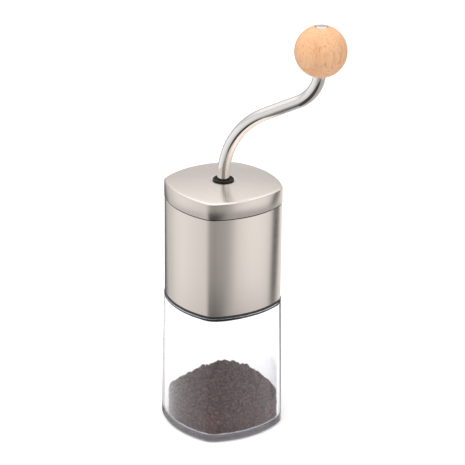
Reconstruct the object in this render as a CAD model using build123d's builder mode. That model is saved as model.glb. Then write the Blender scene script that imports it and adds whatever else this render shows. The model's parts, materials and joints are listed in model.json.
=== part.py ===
from build123d import *
from math import atan2, cos, pi, radians, sin, sqrt, tan
import os

# Hand crank coffee grinder: a square steel body with bowed sides stands on a clear box that catches the
# ground coffee, and an S-shaped crank with a wooden ball turns a conical burr through a straight shaft.
# Millimetres, +Z up. The origin is the middle of the container's base, the flat sides face +X, -X, +Y
# and -Y, and the crank points crank_azimuth degrees from +X. The burr stands at its finest setting.

# Plan of the body, shared by every square piece
body_width = 60.0  # across the middles of two opposite sides
side_bow_radius = 49.0
corner_radius = 10.0

# Clearances
fit_gap = 0.1  # parts of one sub-assembly that drop into each other
lift_gap = 0.3  # parts that lift off each other, and curved parts that pass each other
running_gap = 0.07  # a shaft in its bush

# Container, grounds and seal
container_height = 76.2  # up to the shoulder that carries the seal
container_draft = 1.06  # degrees that the walls lean outwards towards the base
container_overhang = 0.3  # that the shoulder stands out past the steel body
container_wall = 3.0
container_floor = 4.0
shoulder_thickness = 2.2
base_edge_radius = 2.0
neck_inset = 3.2
neck_wall = 2.2
neck_height = 9.6
grounds_at_wall = 18.0
grounds_at_middle = 34.5
grounds_crown_radius = 12.0
seal_height = 0.6

# Body: steel sleeve over a moulded hopper
sleeve_height = 57.2
sleeve_wall = 0.8
hopper_flange = 0.6
hopper_wall = 2.0
hopper_rim_rise = 0.2  # that the hopper stands up out of the sleeve
funnel_depth = 9.0
funnel_thickness = 2.5
chamber_wall = 3.3  # beside the round bean chamber, at the middle of a side
well_wall = 4.4
well_lip_height = 4.0

# Burr set
outer_burr_height = 18.0
outer_burr_ring = 3.2  # ring thickness at the bottom, where it grinds finest
grind_slope = 0.3  # radius lost per millimetre of height in the grinding zone
grind_zone_height = 7.0
throat_ring = 2.9  # ring thickness at the top, where beans drop in
burr_gap = 0.3
inner_burr_lift = 0.6  # bottom of the inner burr above the bottom of the outer one
inner_burr_height = 15.8
inner_burr_top_radius = 7.6
tooth_size = 0.7
tooth_count = 32
flute_count = 8
outer_flute_radius = 1.6
inner_flute_radius = 2.3
retainer_thickness = 1.8
retainer_lip = 0.5  # that the retainer stands in under the outer burr
retainer_screw_count = 3
retainer_screw_radius = 0.9
retainer_screw_head_radius = 1.7
retainer_screw_length = 5.0

# Shaft, bridge and bushes
shaft_radius = 3.0
shaft_end_drop = 9.4  # shaft end below the well
shaft_hex = 5.1  # across flats, where the crank's socket drops over
shaft_hex_length = 5.2
shaft_flats = 4.6  # across flats, where the burr carrier slides
bush_wall = 1.5
bush_flange_width = 1.8
bush_flange_thickness = 0.8
bush_length = 6.0
hub_wall = 2.5
bridge_thickness = 5.0
bridge_arm_width = 6.0
bridge_drop = 6.4  # top of the bridge below the top of the hopper
bridge_screw_radius = 1.1
bridge_screw_head_radius = 2.1
bridge_screw_length = 11.0
recess_width = 0.45  # of a screw's hexagon recess, as a share of its head's radius
recess_depth = 0.6  # as a share of the head's height
clip_thickness = 0.6
clip_depth = 0.5
clip_width = 1.8
clip_opening = 1.4  # width of a clip's open side, as a share of the shaft's radius
shaft_chamfer = 0.4
collar_height = 1.4
hub_to_washer_gap = 0.1
washer_thickness = 0.8
spring_wire_radius = 0.5
spring_radius = 4.7
spring_turns = 3.0
spring_length = 6.2

# Carrier and adjusting wheel under the inner burr
carrier_hex = 11.0
carrier_flange_radius = 10.0
carrier_flange_thickness = 1.6
wheel_radius = 9.6
wheel_thickness = 4.2
wheel_chamfer = 0.5
wheel_travel = 1.6  # between the finest and the coarsest setting
wheel_notch_radius = 0.75
wheel_notch_count = 24
nut_hex = 8.8
nut_height = 3.0

# Lid
lid_height = 9.85  # at the middle of a side
lid_dome = 1.5  # that the middle stands above the middle of a side
lid_overhang = 0.2
lid_wall = 0.8
lid_rim_gap = 0.15
lid_edge_radius = 1.0
liner_roof = 3.0
liner_plug_depth = 4.2
liner_plug_wall = 2.0
lid_bush_radius = 5.0
lid_bush_flange_radius = 6.0
lid_bush_flange_thickness = 1.1
lid_bush_edge_radius = 0.6
lid_bush_tail = 1.3  # below the liner's roof, for the clip
lid_seat_depth = 0.25  # of the flat seat pressed into the dome for the bush

# Crank
crank_azimuth = -60.0
rod_radius = 3.5
rod_straight_rise = 1.75  # above the lid, before the first bend
first_bend_radius = 46.0
second_bend_radius = 22.5
bend_angle = 62.6
rod_slope_length = 22.37
socket_radius = 5.6
socket_chamfer = 0.5
socket_wall_gap = 0.5  # between the shaft's hexagon and the rod, inside the socket
socket_lift = 1.2  # bottom of the socket above the bridge's bush
pin_radius = 1.0
crank_washer_thickness = 0.4

# Knob
ball_radius = 14.2
ball_centre_rise = 10.13  # ball's centre above the end of the second bend
mouth_clearance = 1.5  # between the bent rod and the ball's mouth, which spins round it
spindle_radius = 2.2
spindle_shoulder_rise = 0.6  # above the end of the second bend
sleeve_past_rod = 0.1  # that the knob's sleeve is larger in radius than the rod
knob_washer_thickness = 0.5
knob_play = 0.3
rivet_head_gap = 0.3  # between the rivet's head and the outside of the sleeve below it
rivet_crown = 0.15  # that the rivet's head stands above the ball
rivet_head_thickness = 3.2
rivet_edge_radius = 0.4
rivet_shank_radius = 1.3
rivet_shank_length = 8.0

# Levels, from the base up
half_width = body_width / 2
neck_top = container_height + neck_height
seal_top = container_height + seal_height
sleeve_bottom = seal_top + hopper_flange
sleeve_top = sleeve_bottom + sleeve_height
hopper_top = sleeve_top + hopper_rim_rise
well_bottom = container_height
burr_top = well_bottom + outer_burr_height
well_lip_bottom = burr_top + fit_gap
funnel_bottom = well_lip_bottom + well_lip_height
funnel_top = funnel_bottom + funnel_depth
bridge_top = hopper_top - bridge_drop
bridge_seat = bridge_top - bridge_thickness
lid_bottom = hopper_top + lid_rim_gap
lid_top = lid_bottom + lid_height + lid_dome
liner_crown = lid_top - lid_wall - fit_gap
pocket_top = liner_crown - liner_roof
inner_burr_bottom = well_bottom + inner_burr_lift
inner_burr_top = inner_burr_bottom + inner_burr_height
spring_bottom = inner_burr_top + fit_gap + collar_height
spring_top = spring_bottom + spring_length
hub_bottom = spring_top + washer_thickness + hub_to_washer_gap + bush_flange_thickness
bridge_bush_top = bridge_top + bush_flange_thickness
carrier_flange_bottom = inner_burr_bottom - carrier_flange_thickness
wheel_bottom = carrier_flange_bottom - wheel_thickness
shaft_bottom = well_bottom - shaft_end_drop
socket_bottom = bridge_bush_top + socket_lift
shaft_hex_bottom = socket_bottom - fit_gap
shaft_top = shaft_hex_bottom + shaft_hex_length
rod_bottom = shaft_top + socket_wall_gap
lid_bush_bottom = pocket_top - lid_bush_tail
socket_top = lid_bush_bottom - crank_washer_thickness - fit_gap
pin_height = (rod_bottom + socket_top) / 2

# Crank's centre line, as the corners that its two bends round off
bend_tangent = tan(radians(bend_angle / 2))
slope_run = (first_bend_radius + second_bend_radius) * bend_tangent + rod_slope_length
first_corner = lid_top + rod_straight_rise + first_bend_radius * bend_tangent
second_corner = first_corner + slope_run * cos(radians(bend_angle))
crank_reach = slope_run * sin(radians(bend_angle))
second_bend_end = second_corner + second_bend_radius * bend_tangent
ball_centre = second_bend_end + ball_centre_rise
spindle_shoulder = second_bend_end + spindle_shoulder_rise
sleeve_base = spindle_shoulder + knob_washer_thickness
knob_sleeve_radius = rod_radius + sleeve_past_rod
ball_mouth_radius = rod_radius + mouth_clearance
rivet_head_radius = knob_sleeve_radius - rivet_head_gap
rivet_top = ball_centre + sqrt(ball_radius**2 - rivet_head_radius**2) + rivet_crown
spindle_top = rivet_top - rivet_head_thickness

# Radii of the burr set, from the room inside the container's neck
well_radius = half_width - neck_inset - neck_wall - 2 * lift_gap
well_bore = well_radius - well_wall
outer_burr_radius = well_bore - fit_gap
outer_burr_bottom_bore = outer_burr_radius - outer_burr_ring
outer_burr_waist_bore = outer_burr_bottom_bore - grind_slope * grind_zone_height
throat_bore = outer_burr_radius - throat_ring
waist_height = well_bottom + grind_zone_height
inner_burr_bottom_radius = outer_burr_bottom_bore - burr_gap - grind_slope * inner_burr_lift
inner_burr_waist_radius = outer_burr_waist_bore - burr_gap
chamber_radius = half_width - sleeve_wall - fit_gap - chamber_wall
bush_radius = shaft_radius + bush_wall
hub_radius = bush_radius + hub_wall
retainer_screw_circle = well_radius - well_wall / 2

# Insets of the square pieces from the body's outer wall
hopper_inset = sleeve_wall + fit_gap
hopper_inner_inset = hopper_inset + hopper_wall
plug_inset = hopper_inner_inset + lift_gap

# Distance from the axis to a corner of the body, and the bridge's screws just inside its corners
bow_offset = side_bow_radius - half_width
corner_reach = corner_radius - bow_offset * cos(pi / 4) + sqrt(
    (side_bow_radius - corner_radius) ** 2 - (bow_offset * sin(pi / 4)) ** 2
)
bridge_screw_circle = corner_reach - plug_inset - bridge_screw_head_radius - 2 * fit_gap


def body_outline(inset, height):
    """Plan of the body, drawn inset inside its outer wall: four bowed sides and rounded corners."""
    with BuildSketch(Plane.XY.offset(height)) as outline:
        for side in range(4):
            with PolarLocations(bow_offset, 1, start_angle=90 * side):
                Circle(side_bow_radius - inset, mode=Mode.INTERSECT if side else Mode.ADD)
        fillet(outline.vertices(), corner_radius - inset)
    return outline.sketch


def turned(*corners):
    """Solid of revolution about the Z axis; corners are (radius, height) pairs."""
    with BuildPart() as ring:
        with BuildSketch(Plane.XZ):
            with BuildLine():
                Polyline(*corners, close=True)
            make_face()
        revolve(axis=Axis.Z)
    return ring.part


def bar(radius, bottom, top):
    """Plain round bar on the Z axis."""
    with BuildPart() as round_bar:
        with BuildSketch(Plane.XY.offset(bottom)):
            Circle(radius)
        extrude(amount=top - bottom)
    return round_bar.part


def tube(outer_radius, inner_radius, bottom, top):
    """Plain ring about the Z axis."""
    with BuildPart() as ring:
        add(bar(outer_radius, bottom, top))
        add(bar(inner_radius, bottom, top), mode=Mode.SUBTRACT)
    return ring.part


def flanged_bush(bore, flange_face, direction):
    """Bronze bush on the Z axis; its barrel runs from the flange along direction, +1 up or -1 down."""
    seat = flange_face + direction * bush_flange_thickness
    ends = sorted((seat, seat + direction * bush_length))
    with BuildPart() as bush:
        add(bar(bush_radius, *ends))
        add(bar(bush_radius + bush_flange_width, *sorted((flange_face, seat))))
        add(bar(bore, min(flange_face, *ends), max(flange_face, *ends)), mode=Mode.SUBTRACT)
    return bush.part


def knob_plane(height):
    """Level plane at height, centred on the knob's upright axis."""
    angle = radians(crank_azimuth)
    return Plane((crank_reach * cos(angle), crank_reach * sin(angle), height))


def open_clip(bottom):
    """C-shaped retaining clip that snaps into a shaft groove from the side."""
    with BuildPart() as clip:
        with BuildSketch(Plane.XY.offset(bottom)):
            Circle(shaft_radius + clip_width)
            Circle(shaft_radius - clip_depth + running_gap, mode=Mode.SUBTRACT)
            with Locations((shaft_radius + clip_width, 0)):
                Rectangle(2 * (shaft_radius + clip_width), clip_opening * shaft_radius, mode=Mode.SUBTRACT)
        extrude(amount=clip_thickness)
    return clip.part


def clip_groove(bottom):
    """Material turned away from the shaft for a clip whose underside lies at bottom."""
    return tube(shaft_radius + 1, shaft_radius - clip_depth, bottom - fit_gap / 2,
                bottom + clip_thickness + fit_gap / 2)


def domed_block(inset, bottom, crown):
    """Body plan from bottom up to a shallow dome whose middle lies at crown."""
    dome_radius = (half_width**2 + lid_dome**2) / (2 * lid_dome)
    with BuildPart() as block:
        extrude(body_outline(inset, bottom), amount=crown - bottom)
        with Locations((0, 0, crown - dome_radius)):
            Sphere(dome_radius, rotation=(90, 0, 0), mode=Mode.INTERSECT)
    return block.part


def countersunk_screw(top, head_radius, shank_radius, length):
    """Flat-headed screw on the Z axis with a hexagon recess, its head's face at top."""
    head_height = head_radius - shank_radius
    with BuildPart() as screw:
        add(turned((0, top), (head_radius, top), (shank_radius, top - head_height),
                   (shank_radius, top - length), (0, top - length)))
        with BuildSketch(Plane.XY.offset(top)):
            RegularPolygon(recess_width * head_radius, 6, major_radius=False)
        extrude(amount=-recess_depth * head_height, mode=Mode.SUBTRACT)
    return screw.part


def grind_tooth(gap):
    """Cutter for one V-shaped tooth space along the grinding cone, gap inside the outer burr's cone."""
    start = Vector(outer_burr_bottom_bore - gap + 2 * grind_slope, 0, well_bottom - 2)
    end = Vector(outer_burr_waist_bore - gap - 2 * grind_slope, 0, waist_height + 2)
    with BuildPart() as cutter:
        with BuildSketch(Plane(origin=start, x_dir=(0, 1, 0), z_dir=end - start)):
            RegularPolygon(tooth_size, 4)
        extrude(amount=(end - start).length)
    return cutter.part


def leaning_box(inset, bottom, top):
    """Block with the container's leaning sides and rounded foot, drawn inset inside its outer wall."""
    widening = (container_height - top) * tan(radians(container_draft))
    with BuildPart() as box:
        extrude(body_outline(inset - container_overhang - widening, top), amount=bottom - top,
                taper=-container_draft)
        fillet(box.faces().sort_by(Axis.Z)[0].edges(), base_edge_radius)
    return box.part


# Container: clear moulded box whose walls lean out slightly, with a neck that plugs into the body.
with BuildPart() as container:
    add(leaning_box(0, 0, container_height))
    add(leaning_box(container_wall, container_floor, container_height - shoulder_thickness),
        mode=Mode.SUBTRACT)
    extrude(body_outline(neck_inset, container_height), amount=neck_height)
    extrude(body_outline(neck_inset + neck_wall, container_height - shoulder_thickness),
            amount=shoulder_thickness + neck_height, mode=Mode.SUBTRACT)

# Ground coffee: one loose heap, higher in the middle than along the walls.
heap_slope = atan2(grounds_at_middle - grounds_at_wall, half_width)
crown_edge = (grounds_crown_radius * sin(heap_slope),
              grounds_at_middle - grounds_crown_radius * (1 - cos(heap_slope)))
with BuildPart() as ground_coffee:
    add(leaning_box(container_wall + lift_gap, container_floor + lift_gap, grounds_at_middle))
    with BuildSketch(Plane.XZ):
        with BuildLine():
            rim = Line((2 * half_width, container_floor), (2 * half_width, grounds_at_wall))
            side = Line(rim @ 1, crown_edge)
            ThreePointArc(side @ 1, (grounds_crown_radius * sin(heap_slope / 2),
                          grounds_at_middle - grounds_crown_radius * (1 - cos(heap_slope / 2))),
                          (0, grounds_at_middle))
            Polyline((0, grounds_at_middle), (0, container_floor), rim @ 0)
        make_face()
    revolve(axis=Axis.Z, mode=Mode.INTERSECT)

with BuildPart() as seal_ring:
    extrude(body_outline(-container_overhang, container_height), amount=seal_height)
    extrude(body_outline(neck_inset - fit_gap, container_height), amount=seal_height, mode=Mode.SUBTRACT)

# Body sleeve: a drawn steel tube, open at both ends, over the hopper.
with BuildPart() as body_sleeve:
    extrude(body_outline(0, sleeve_bottom), amount=sleeve_height)
    extrude(body_outline(sleeve_wall, sleeve_bottom), amount=sleeve_height, mode=Mode.SUBTRACT)

# Hopper: flange, socket for the container's neck, well for the burrs, funnel and round bean chamber.
void_top = funnel_top - funnel_thickness
void_slope = funnel_depth * (chamber_radius - well_radius) / (chamber_radius - throat_bore)
with BuildPart() as hopper:
    extrude(body_outline(-container_overhang, seal_top), amount=hopper_flange)
    extrude(body_outline(hopper_inset, sleeve_bottom), amount=hopper_top - sleeve_bottom)
    extrude(body_outline(hopper_inner_inset, seal_top), amount=neck_top + lift_gap - seal_top,
            mode=Mode.SUBTRACT)
    add(turned((well_radius, neck_top), (chamber_radius, neck_top), (chamber_radius, void_top),
               (well_radius, void_top - void_slope)), mode=Mode.SUBTRACT)
    add(tube(well_radius, well_bore, well_bottom, funnel_bottom))
    add(turned((0, well_bottom), (well_bore, well_bottom), (well_bore, well_lip_bottom),
               (throat_bore, well_lip_bottom), (throat_bore, funnel_bottom), (chamber_radius, funnel_top),
               (chamber_radius, bridge_seat), (0, bridge_seat)), mode=Mode.SUBTRACT)
    extrude(body_outline(hopper_inner_inset, bridge_seat), amount=hopper_top - bridge_seat,
            mode=Mode.SUBTRACT)
    with Locations(Plane.XY.offset(bridge_seat)):
        with PolarLocations(bridge_screw_circle, 4, start_angle=45):
            Hole(bridge_screw_radius + fit_gap / 2, depth=bridge_screw_length - bridge_thickness + fit_gap)
    with Locations(Plane(origin=(0, 0, well_bottom), z_dir=(0, 0, -1))):
        with PolarLocations(retainer_screw_circle, retainer_screw_count):
            Hole(retainer_screw_radius + fit_gap / 2,
                 depth=retainer_screw_length - retainer_thickness + fit_gap)

# Bearing bridge: four arms to the hopper's corners and a long hub that holds both shaft bushes.
with BuildPart() as bearing_bridge:
    with BuildSketch(Plane.XY.offset(bridge_seat)):
        with PolarLocations(0, 2, start_angle=45, angular_range=180):
            Rectangle(4 * chamber_radius, bridge_arm_width)
    extrude(amount=bridge_thickness)
    extrude(body_outline(plug_inset, bridge_seat), amount=bridge_thickness, mode=Mode.INTERSECT)
    add(bar(hub_radius, hub_bottom, bridge_top))
    add(bar(bush_radius + running_gap, hub_bottom, bridge_top), mode=Mode.SUBTRACT)
    with Locations(Plane.XY.offset(bridge_top)):
        with PolarLocations(bridge_screw_circle, 4, start_angle=45):
            CounterSinkHole(bridge_screw_radius + fit_gap, bridge_screw_head_radius + fit_gap)

with BuildPart() as bridge_screws:
    with PolarLocations(bridge_screw_circle, 4, start_angle=45):
        add(countersunk_screw(bridge_top, bridge_screw_head_radius, bridge_screw_radius,
                              bridge_screw_length))

upper_bush = flanged_bush(shaft_radius + running_gap, bridge_bush_top, -1)
lower_bush = flanged_bush(shaft_radius + running_gap, hub_bottom - bush_flange_thickness, 1)

# Outer burr: ceramic ring, dropped into the well from below and held by the retainer.
with BuildPart() as outer_burr:
    add(turned((outer_burr_bottom_bore, well_bottom), (outer_burr_radius, well_bottom),
               (outer_burr_radius, burr_top), (throat_bore, burr_top),
               (outer_burr_waist_bore, waist_height)))
    tooth = grind_tooth(0)
    with PolarLocations(0, tooth_count):
        add(tooth, mode=Mode.SUBTRACT)
    with BuildSketch(Plane.XY.offset(burr_top)):
        with PolarLocations(throat_bore - outer_flute_radius / 2, flute_count):
            Circle(outer_flute_radius)
    extrude(amount=waist_height + 1 - burr_top, mode=Mode.SUBTRACT)

with BuildPart() as burr_retainer:
    add(tube(well_radius, outer_burr_bottom_bore + retainer_lip, well_bottom - retainer_thickness,
             well_bottom))
    with Locations(Plane(origin=(0, 0, well_bottom - retainer_thickness), z_dir=(0, 0, -1))):
        with PolarLocations(retainer_screw_circle, retainer_screw_count):
            CounterSinkHole(retainer_screw_radius + fit_gap, retainer_screw_head_radius + fit_gap)

with BuildPart() as retainer_screws:
    screw = countersunk_screw(0, retainer_screw_head_radius, retainer_screw_radius, retainer_screw_length)
    with Locations(Plane(origin=(0, 0, well_bottom - retainer_thickness), z_dir=(0, 0, -1))):
        with PolarLocations(retainer_screw_circle, retainer_screw_count):
            add(screw)

# Drive shaft: round in its bushes, flat-sided below for the burr carrier, hexagonal above for the crank.
upper_clip_bottom = bridge_bush_top + fit_gap
lower_clip_bottom = wheel_bottom - wheel_travel - clip_thickness - fit_gap
with BuildPart() as drive_shaft:
    add(bar(shaft_radius, shaft_bottom, shaft_hex_bottom))
    chamfer(drive_shaft.faces().sort_by(Axis.Z)[0].edges(), shaft_chamfer)
    with BuildSketch(Plane.XY.offset(shaft_bottom)):
        Circle(2 * shaft_radius)
        Rectangle(4 * shaft_radius, shaft_flats, mode=Mode.SUBTRACT)
    extrude(amount=spring_bottom - shaft_bottom, mode=Mode.SUBTRACT)
    with BuildSketch(Plane.XY.offset(shaft_hex_bottom)):
        RegularPolygon(shaft_hex / 2, 6, major_radius=False)
    extrude(amount=shaft_hex_length)
    chamfer(drive_shaft.faces().sort_by(Axis.Z)[-1].edges(), shaft_chamfer)
    add(clip_groove(upper_clip_bottom), mode=Mode.SUBTRACT)
    add(clip_groove(lower_clip_bottom), mode=Mode.SUBTRACT)

upper_clip = open_clip(upper_clip_bottom)
lower_clip = open_clip(lower_clip_bottom)
thrust_washer = tube(bush_radius + bush_flange_width, shaft_radius + running_gap, spring_top,
                     spring_top + washer_thickness)

# Spring that presses the inner burr down onto the adjusting wheel.
coil_length = spring_length - 2 * spring_wire_radius - 2 * fit_gap
with BuildPart() as burr_spring:
    with BuildLine():
        coil = Helix(coil_length / spring_turns, coil_length, spring_radius,
                     center=(0, 0, spring_bottom + fit_gap + spring_wire_radius))
    with BuildSketch(Plane(origin=coil @ 0, x_dir=(0, 0, 1), z_dir=coil % 0)):
        Circle(spring_wire_radius)
    sweep(is_frenet=True)

# Inner burr: ceramic cone on a keyed carrier that slides along the shaft's flats.
with BuildPart() as inner_burr:
    add(turned((0, inner_burr_bottom), (inner_burr_bottom_radius, inner_burr_bottom),
               (inner_burr_waist_radius, waist_height), (inner_burr_top_radius, inner_burr_top),
               (0, inner_burr_top)))
    tooth = grind_tooth(burr_gap)
    with PolarLocations(0, tooth_count):
        add(tooth, mode=Mode.SUBTRACT)
    with BuildSketch(Plane.XY.offset(inner_burr_top)):
        with PolarLocations(inner_burr_waist_radius - inner_flute_radius / 2, flute_count, start_angle=9):
            Circle(inner_flute_radius)
    extrude(amount=waist_height + 1 - inner_burr_top, mode=Mode.SUBTRACT)
    with BuildSketch(Plane.XY.offset(inner_burr_bottom)):
        RegularPolygon(carrier_hex / 2 + fit_gap, 6, major_radius=False)
    extrude(amount=inner_burr_height, mode=Mode.SUBTRACT)

with BuildPart() as burr_carrier:
    add(bar(carrier_flange_radius, carrier_flange_bottom, inner_burr_bottom))
    with BuildSketch(Plane.XY.offset(inner_burr_bottom)):
        RegularPolygon(carrier_hex / 2, 6, major_radius=False)
    extrude(amount=inner_burr_height)
    with BuildSketch(Plane.XY.offset(carrier_flange_bottom)):
        Circle(shaft_radius + running_gap)
        Rectangle(4 * shaft_radius, shaft_flats + 2 * running_gap, mode=Mode.INTERSECT)
    extrude(amount=carrier_flange_thickness + inner_burr_height, mode=Mode.SUBTRACT)

spring_collar = tube(inner_burr_top_radius, shaft_radius + running_gap, inner_burr_top + fit_gap,
                     spring_bottom)

# Adjusting wheel: notched grip under the burr with a brass nut on the shaft's thread.
with BuildPart() as adjusting_wheel:
    add(bar(wheel_radius, wheel_bottom, carrier_flange_bottom))
    chamfer(adjusting_wheel.edges(), wheel_chamfer)
    with BuildSketch(Plane.XY.offset(wheel_bottom)):
        with PolarLocations(wheel_radius + wheel_notch_radius / 3, wheel_notch_count):
            Circle(wheel_notch_radius)
        Circle(shaft_radius + lift_gap)
    extrude(amount=wheel_thickness, mode=Mode.SUBTRACT)
    with BuildSketch(Plane.XY.offset(carrier_flange_bottom)):
        RegularPolygon(nut_hex / 2 + fit_gap, 6, major_radius=False)
    extrude(amount=-nut_height, mode=Mode.SUBTRACT)

with BuildPart() as adjusting_nut:
    with BuildSketch(Plane.XY.offset(carrier_flange_bottom)):
        RegularPolygon(nut_hex / 2, 6, major_radius=False)
        Circle(shaft_radius + running_gap, mode=Mode.SUBTRACT)
    extrude(amount=-nut_height)

# Lid: pressed steel cap, moulded liner that plugs the hopper, and a bush clipped through both.
with BuildPart() as lid_shell:
    add(domed_block(-lid_overhang, lid_bottom, lid_top))
    fillet(lid_shell.faces().sort_by(Axis.Z)[-1].edges(), lid_edge_radius)
    add(domed_block(lid_wall - lid_overhang, lid_bottom, lid_top - lid_wall), mode=Mode.SUBTRACT)
    add(bar(lid_bush_radius + running_gap, lid_bottom, lid_top + 1), mode=Mode.SUBTRACT)
    add(bar(lid_bush_flange_radius + fit_gap, lid_top - lid_seat_depth, lid_top + 1), mode=Mode.SUBTRACT)

with BuildPart() as lid_liner:
    add(domed_block(lid_wall - lid_overhang + fit_gap, hopper_top, liner_crown))
    extrude(body_outline(plug_inset, hopper_top), amount=-liner_plug_depth)
    extrude(body_outline(plug_inset + liner_plug_wall, hopper_top - liner_plug_depth),
            amount=pocket_top - hopper_top + liner_plug_depth, mode=Mode.SUBTRACT)
    add(bar(lid_bush_radius + running_gap, pocket_top, lid_top), mode=Mode.SUBTRACT)

with BuildPart() as lid_bush:
    flange_seat = lid_top - lid_seat_depth
    add(bar(lid_bush_radius, lid_bush_bottom, flange_seat))
    add(bar(lid_bush_flange_radius, flange_seat, flange_seat + lid_bush_flange_thickness))
    fillet(lid_bush.faces().sort_by(Axis.Z)[-1].edges(), lid_bush_edge_radius)
    add(bar(rod_radius + running_gap, lid_bush_bottom, lid_top + 2), mode=Mode.SUBTRACT)
    add(tube(lid_bush_radius + 1, lid_bush_radius - clip_depth, pocket_top - clip_thickness - fit_gap,
             pocket_top), mode=Mode.SUBTRACT)

lid_clip = tube(lid_bush_radius + clip_width, lid_bush_radius - clip_depth + running_gap,
                pocket_top - clip_thickness, pocket_top)

# Crank: one bent rod with a turned spindle, joined under the lid to a socket that drops over the shaft.
crank_direction = (cos(radians(crank_azimuth)), sin(radians(crank_azimuth)), 0)
crank_plane = Plane(origin=(0, 0, 0), x_dir=crank_direction,
                    z_dir=(crank_direction[1], -crank_direction[0], 0))
with BuildPart() as crank_rod:
    with BuildLine(crank_plane):
        FilletPolyline((0, rod_bottom), (0, first_corner), (crank_reach, second_corner),
                       (crank_reach, spindle_shoulder), radius=(first_bend_radius, second_bend_radius))
    with BuildSketch(Plane.XY.offset(rod_bottom)):
        Circle(rod_radius)
    sweep()
    with BuildSketch(knob_plane(spindle_shoulder)):
        Circle(spindle_radius)
    extrude(amount=spindle_top - spindle_shoulder)
    with BuildSketch(knob_plane(spindle_top)):
        Circle(rivet_shank_radius + fit_gap / 2)
    extrude(amount=-rivet_shank_length - fit_gap, mode=Mode.SUBTRACT)
    with Locations(Plane(origin=(0, 0, pin_height), z_dir=(1, 0, 0))):
        Hole(pin_radius + fit_gap / 2)

with BuildPart() as drive_socket:
    add(bar(socket_radius, socket_bottom, socket_top))
    chamfer(drive_socket.edges(), socket_chamfer)
    add(bar(rod_radius + fit_gap / 2, rod_bottom, socket_top), mode=Mode.SUBTRACT)
    with BuildSketch(Plane.XY.offset(socket_bottom)):
        RegularPolygon(shaft_hex / 2 + fit_gap, 6, major_radius=False)
    extrude(amount=rod_bottom - socket_bottom, mode=Mode.SUBTRACT)
    with Locations(Plane(origin=(0, 0, pin_height), z_dir=(1, 0, 0))):
        Hole(pin_radius + fit_gap / 2)

with BuildPart() as socket_pin:
    with Locations(Plane(origin=(0, 0, pin_height), z_dir=(1, 0, 0))):
        Cylinder(pin_radius, 2 * (socket_radius - socket_chamfer))

crank_washer = tube(socket_radius, rod_radius + running_gap, socket_top,
                    socket_top + crank_washer_thickness)

# Knob: wooden ball on a bronze sleeve that spins on the spindle under the rivet's flat head.
with BuildPart() as knob_ball:
    with Locations(knob_plane(ball_centre)):
        Sphere(ball_radius)
    with BuildSketch(knob_plane(sleeve_base)):
        Circle(knob_sleeve_radius + fit_gap / 2)
    extrude(amount=2 * ball_radius, mode=Mode.SUBTRACT)
    with BuildSketch(knob_plane(sleeve_base)):
        Circle(knob_sleeve_radius)
    with BuildSketch(knob_plane(ball_centre - ball_radius)):
        Circle(ball_mouth_radius)
    loft(mode=Mode.SUBTRACT)

with BuildPart() as knob_sleeve:
    with BuildSketch(knob_plane(sleeve_base)):
        Circle(knob_sleeve_radius)
        Circle(spindle_radius + running_gap, mode=Mode.SUBTRACT)
    extrude(amount=spindle_top - knob_play - sleeve_base)

with BuildPart() as knob_washer:
    with BuildSketch(knob_plane(spindle_shoulder)):
        Circle(rod_radius)
        Circle(spindle_radius + running_gap, mode=Mode.SUBTRACT)
    extrude(amount=knob_washer_thickness)

with BuildPart() as knob_rivet:
    with BuildSketch(knob_plane(spindle_top)):
        Circle(rivet_head_radius)
    extrude(amount=rivet_top - spindle_top)
    fillet(knob_rivet.faces().sort_by(Axis.Z)[-1].edges(), rivet_edge_radius)
    with BuildSketch(knob_plane(spindle_top)):
        Circle(rivet_shank_radius)
    extrude(amount=-rivet_shank_length)

pieces = {
    "container": container.part,
    "ground_coffee": ground_coffee.part,
    "seal_ring": seal_ring.part,
    "body_sleeve": body_sleeve.part,
    "hopper": hopper.part,
    "bearing_bridge": bearing_bridge.part,
    "bridge_screws": bridge_screws.part,
    "upper_bush": upper_bush,
    "lower_bush": lower_bush,
    "outer_burr": outer_burr.part,
    "burr_retainer": burr_retainer.part,
    "retainer_screws": retainer_screws.part,
    "drive_shaft": drive_shaft.part,
    "upper_clip": upper_clip,
    "lower_clip": lower_clip,
    "thrust_washer": thrust_washer,
    "burr_spring": burr_spring.part,
    "spring_collar": spring_collar,
    "inner_burr": inner_burr.part,
    "burr_carrier": burr_carrier.part,
    "adjusting_wheel": adjusting_wheel.part,
    "adjusting_nut": adjusting_nut.part,
    "lid_shell": lid_shell.part,
    "lid_liner": lid_liner.part,
    "lid_bush": lid_bush.part,
    "lid_clip": lid_clip,
    "crank_rod": crank_rod.part,
    "drive_socket": drive_socket.part,
    "socket_pin": socket_pin.part,
    "crank_washer": crank_washer,
    "knob_ball": knob_ball.part,
    "knob_sleeve": knob_sleeve.part,
    "knob_washer": knob_washer.part,
    "knob_rivet": knob_rivet.part,
}

os.makedirs("parts", exist_ok=True)
for name, piece in pieces.items():
    piece.label = name
    export_step(piece, f"parts/{name}.step")
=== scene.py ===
import bpy
import json
from math import acos, atan2, cos, pi, radians, sin, sqrt, tan
from mathutils import Matrix, Vector, noise


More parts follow.
